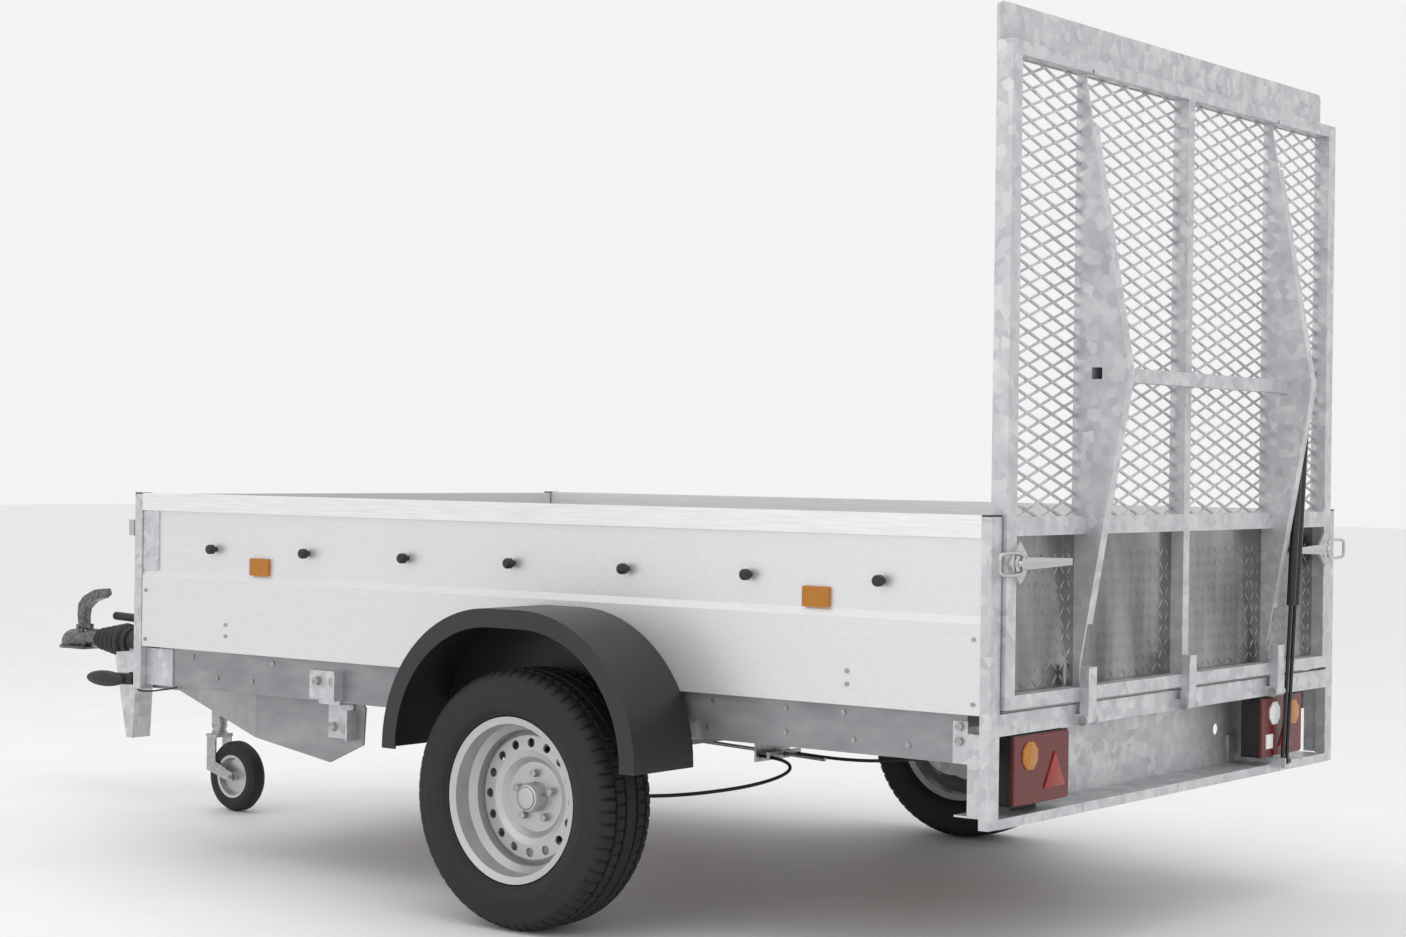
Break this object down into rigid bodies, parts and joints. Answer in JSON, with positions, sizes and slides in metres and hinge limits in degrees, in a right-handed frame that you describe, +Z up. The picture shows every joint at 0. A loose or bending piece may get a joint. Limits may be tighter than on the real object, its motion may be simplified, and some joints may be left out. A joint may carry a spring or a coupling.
{
  "type": "ramp trailer",
  "caption": "Braked box trailer with aluminium sides, mudguards, V drawbar with overrun coupling and jockey wheel, and a tall mesh loading ramp on gas struts.",
  "frame": {"origin": "on the ground under the middle of the overall length and width", "axes": "+X forward to the coupling, +Y to the trailer's left, +Z up"},
  "size_m": [4.319, 2.14, 2.09],
  "materials": {
    "chassis_steel": "dark galvanised folded steel",
    "galvanised_steel": "hot-dip galvanised, spangled",
    "zinc_plated_steel": "bright zinc plated",
    "aluminium_panel": "fine brushed, nearly white",
    "floor_plywood": "phenolic film-faced plywood",
    "black_plastic": "moulded, satin",
    "black_rubber": "moulded rubber",
    "tyre_rubber": "tyre compound",
    "wheel_silver": "silver enamel",
    "cast_iron": "bare casting, painted dark",
    "amber_lens": "moulded reflector",
    "red_lens": "moulded lens, amber and clear fields",
    "chrome_plate": "bright plated pressing",
    "chequer_aluminium": "bright five-bar tread plate",
    "black_enamel": "gloss black enamel",
    "black_rod": "black nitrided rod"
  },
  "bodies": {
    "chassis": {"side_rails": "chassis_steel", "cross_members": "chassis_steel", "drawbar_beams": "chassis_steel", "bolted_brackets": "galvanised_steel", "fasteners": "zinc_plated_steel", "corner_posts": "galvanised_steel", "post_caps": "black_plastic", "hinge_beam": "galvanised_steel", "light_board_channel": "galvanised_steel", "light_board_plate": "galvanised_steel", "tail_lamp_housings": "black_plastic", "tail_lamp_lenses": "red_lens", "strut_bracket": "galvanised_steel", "floor_panel": "floor_plywood", "side_panels": "aluminium_panel", "top_rails": "aluminium_panel", "tarp_knobs": "black_plastic", "side_reflectors": "amber_lens", "mudguards": "black_plastic", "axle_tube": "galvanised_steel", "cables": "black_rubber", "brake_linkage": "zinc_plated_steel", "overrun_housing": "galvanised_steel", "marker_lamps": "black_rubber", "jockey_clamp": "galvanised_steel"},
    "front_board": {"front_board": "aluminium_panel"},
    "front_latch_left": {"front_latch_left": "chrome_plate"},
    "front_latch_right": {"front_latch_right": "chrome_plate"},
    "suspension_left": {"swing_arm_left": "galvanised_steel"},
    "suspension_right": {"swing_arm_right": "galvanised_steel"},
    "wheel_left": {"brake_drum_left": "cast_iron", "rim_left": "wheel_silver", "tyre_left": "tyre_rubber", "wheel_bolts_left": "zinc_plated_steel"},
    "wheel_right": {"brake_drum_right": "cast_iron", "rim_right": "wheel_silver", "tyre_right": "tyre_rubber", "wheel_bolts_right": "zinc_plated_steel"},
    "overrun_shaft": {"drawbar_tube": "zinc_plated_steel", "coupling_head": "zinc_plated_steel", "bellows": "black_rubber"},
    "coupling_handle": {"coupling_handle": "zinc_plated_steel"},
    "handbrake_lever": {"handbrake_lever": "black_plastic"},
    "jockey_tube": {"jockey_tube": "zinc_plated_steel"},
    "jockey_spindle": {"jockey_spindle": "zinc_plated_steel"},
    "jockey_fork": {"jockey_fork": "zinc_plated_steel"},
    "jockey_crank": {"jockey_crank": "zinc_plated_steel"},
    "jockey_wheel": {"jockey_rim": "wheel_silver", "jockey_tyre": "tyre_rubber"},
    "wheel_chock": {"wheel_chock": "galvanised_steel"},
    "ramp": {"ramp_frame": "galvanised_steel", "ramp_webs": "galvanised_steel", "ramp_mesh": "galvanised_steel", "ramp_plates": "chequer_aluminium", "ramp_lip": "galvanised_steel", "ramp_hinge_arms": "galvanised_steel"},
    "ramp_latch_left": {"ramp_latch_left": "chrome_plate"},
    "ramp_latch_right": {"ramp_latch_right": "chrome_plate"},
    "gas_strut_tubes": {"gas_strut_tubes": "black_enamel"},
    "gas_strut_rods": {"gas_strut_rods": "black_rod"}
  },
  "joints": [
    {"name": "suspension_left", "type": "hinge", "parent": "chassis", "child": "suspension_left", "pos_m": [-0.7005, 0.849, 0.395], "axis": [0, 1, 0], "range_deg": [-8, 18], "stiffness_Nm_per_rad": 4000, "springref_deg": -4.3},
    {"name": "wheel_spin_left", "type": "hinge", "parent": "suspension_left", "child": "wheel_left", "pos_m": [-0.8595, 0.966, 0.306], "axis": [0, 1, 0], "continuous": true},
    {"name": "suspension_right", "type": "hinge", "parent": "chassis", "child": "suspension_right", "pos_m": [-0.7005, -0.849, 0.395], "axis": [0, 1, 0], "range_deg": [-8, 18], "stiffness_Nm_per_rad": 4000, "springref_deg": -4.3},
    {"name": "wheel_spin_right", "type": "hinge", "parent": "suspension_right", "child": "wheel_right", "pos_m": [-0.8595, -0.966, 0.306], "axis": [0, 1, 0], "continuous": true},
    {"name": "ramp_hinge", "type": "hinge", "parent": "chassis", "child": "ramp", "pos_m": [-2.0715, 0, 0.54], "axis": [0, -1, 0], "range_deg": [0, 111]},
    {"name": "gas_strut_swing", "type": "hinge", "parent": "ramp", "child": "gas_strut_tubes", "pos_m": [-2.1105, -0.53, 1.246], "axis": [0, -1, 0], "range_deg": [-18.5, 1]},
    {"name": "gas_strut_stroke", "type": "slide", "parent": "gas_strut_tubes", "child": "gas_strut_rods", "axis": [-0.0439, 0, 0.999], "range_m": [0, 0.245]},
    {"name": "ramp_latch_turn_left", "type": "hinge", "parent": "ramp", "child": "ramp_latch_left", "pos_m": [-2.075, 0.772, 0.893], "axis": [1, 0, 0], "range_deg": [0, 90]},
    {"name": "ramp_latch_turn_right", "type": "hinge", "parent": "ramp", "child": "ramp_latch_right", "pos_m": [-2.075, -0.772, 0.893], "axis": [-1, 0, 0], "range_deg": [0, 90]},
    {"name": "front_board_hinge", "type": "hinge", "parent": "chassis", "child": "front_board", "pos_m": [0.7345, 0, 0.584], "axis": [0, 1, 0], "range_deg": [0, 90]},
    {"name": "front_latch_turn_left", "type": "hinge", "parent": "front_board", "child": "front_latch_left", "pos_m": [0.7395, 0.792, 0.897], "axis": [0, 0, -1], "range_deg": [0, 100]},
    {"name": "front_latch_turn_right", "type": "hinge", "parent": "front_board", "child": "front_latch_right", "pos_m": [0.7395, -0.792, 0.897], "axis": [0, 0, 1], "range_deg": [0, 100]},
    {"name": "overrun_slide", "type": "slide", "parent": "chassis", "child": "overrun_shaft", "axis": [-1, 0, 0], "range_m": [0, 0.09], "stiffness_N_per_m": 3000, "springref_m": -0.02, "deforming": ["bellows"]},
    {"name": "coupling_handle_pivot", "type": "hinge", "parent": "overrun_shaft", "child": "coupling_handle", "pos_m": [2.0535, 0, 0.517], "axis": [0, 1, 0], "range_deg": [-30, 10]},
    {"name": "handbrake_pivot", "type": "hinge", "parent": "chassis", "child": "handbrake_lever", "pos_m": [1.5795, -0.06, 0.506], "axis": [0, -1, 0], "range_deg": [0, 80]},
    {"name": "jockey_raise", "type": "slide", "parent": "chassis", "child": "jockey_tube", "axis": [0, 0, 1], "range_m": [0, 0.12]},
    {"name": "jockey_extend", "type": "slide", "parent": "jockey_tube", "child": "jockey_spindle", "axis": [0, 0, -1], "range_m": [0, 0.14]},
    {"name": "jockey_crank_turn", "type": "hinge", "parent": "jockey_tube", "child": "jockey_crank", "pos_m": [1.2115, 0.135, 0.556], "axis": [0, 0, 1], "range_deg": [0, 8450]},
    {"name": "jockey_swivel", "type": "hinge", "parent": "jockey_spindle", "child": "jockey_fork", "pos_m": [1.2115, 0.135, 0.237], "axis": [0, 0, 1], "continuous": true},
    {"name": "jockey_wheel_spin", "type": "hinge", "parent": "jockey_fork", "child": "jockey_wheel", "pos_m": [1.1255, 0.135, 0.108], "axis": [0, 1, 0], "continuous": true},
    {"name": "chock_lift", "type": "slide", "parent": "chassis", "child": "wheel_chock", "axis": [0, 0, 1], "range_m": [0, 0.15]}
  ],
  "couplings": [
    {"joint": "gas_strut_swing", "follows": "ramp_hinge", "ratio": -0.14918},
    {"joint": "gas_strut_stroke", "follows": "ramp_hinge", "m_per_rad": 0.12522},
    {"joint": "jockey_crank_turn", "follows": "jockey_extend", "rad_per_m": 1047.2}
  ]
}
